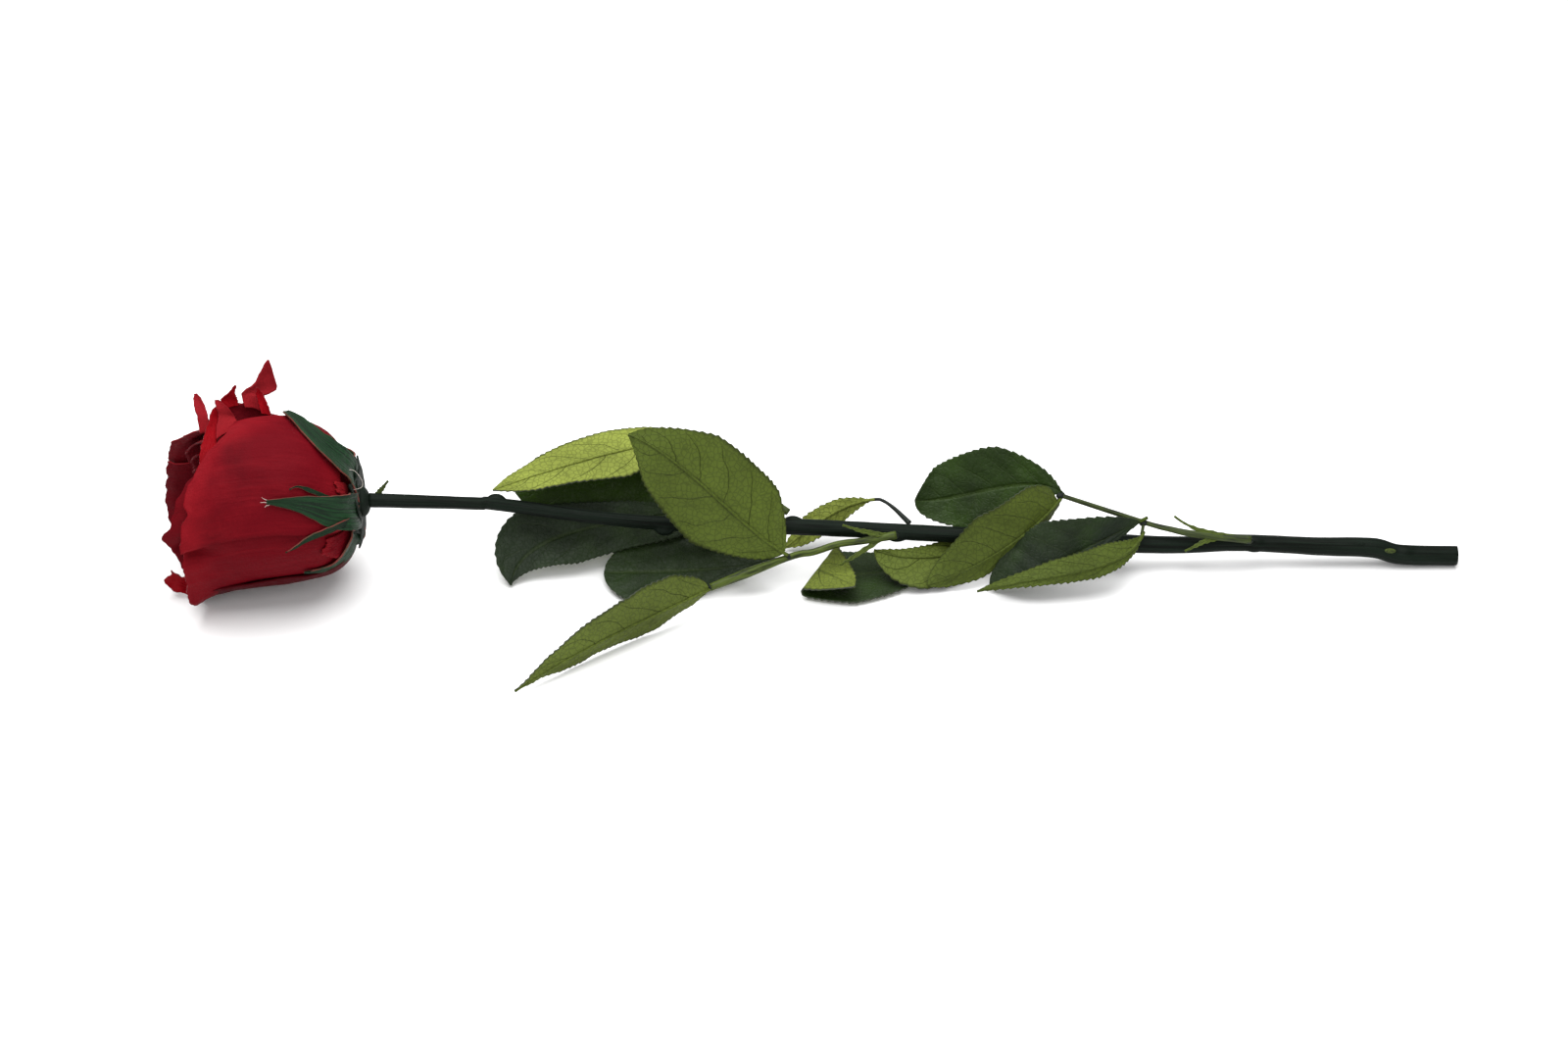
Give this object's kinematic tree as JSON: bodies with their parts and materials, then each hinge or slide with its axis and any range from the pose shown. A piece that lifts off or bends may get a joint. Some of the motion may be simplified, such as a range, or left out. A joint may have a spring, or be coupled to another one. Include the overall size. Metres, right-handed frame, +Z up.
{
  "type": "preserved stemmed rose",
  "caption": "Preserved red rose lying on its side: layered bloom with torn petal tips, sepals, long stem and toothed leaves.",
  "frame": {"origin": "bottom centre of the bounding box, on the surface that the rose lies on", "axes": "+X towards the cut end of the stem, -X towards the bloom, +Z up, -Y towards the viewer of the picture"},
  "size_m": [0.4456, 0.1059, 0.0773],
  "materials": {
    "petal_red": "velvety dark red petal",
    "sepal_green": "dull dark green sepal",
    "leaf_green": "satin olive green leaf",
    "stem_green": "satin dark green bark"
  },
  "bodies": {
    "root": {"stem": "stem_green", "bloom": "petal_red", "calyx": "sepal_green", "leaf_front_stalk": "stem_green", "leaf_back_stalk": "stem_green", "leaf_right_stalk": "stem_green", "leaf_small_stalk": "stem_green", "leaf_low_stalk": "stem_green", "leaf_front_terminal": "leaf_green", "leaf_front_upright": "leaf_green", "leaf_front_flat": "leaf_green", "leaf_back_terminal": "leaf_green", "leaf_back_upper": "leaf_green", "leaf_back_lower": "leaf_green", "leaf_right_terminal": "leaf_green", "leaf_right_over": "leaf_green", "leaf_right_under": "leaf_green", "leaf_right_dark": "leaf_green", "leaf_right_light": "leaf_green", "leaf_small_light": "leaf_green", "leaf_small_folded": "leaf_green"}
  },
  "joints": []
}
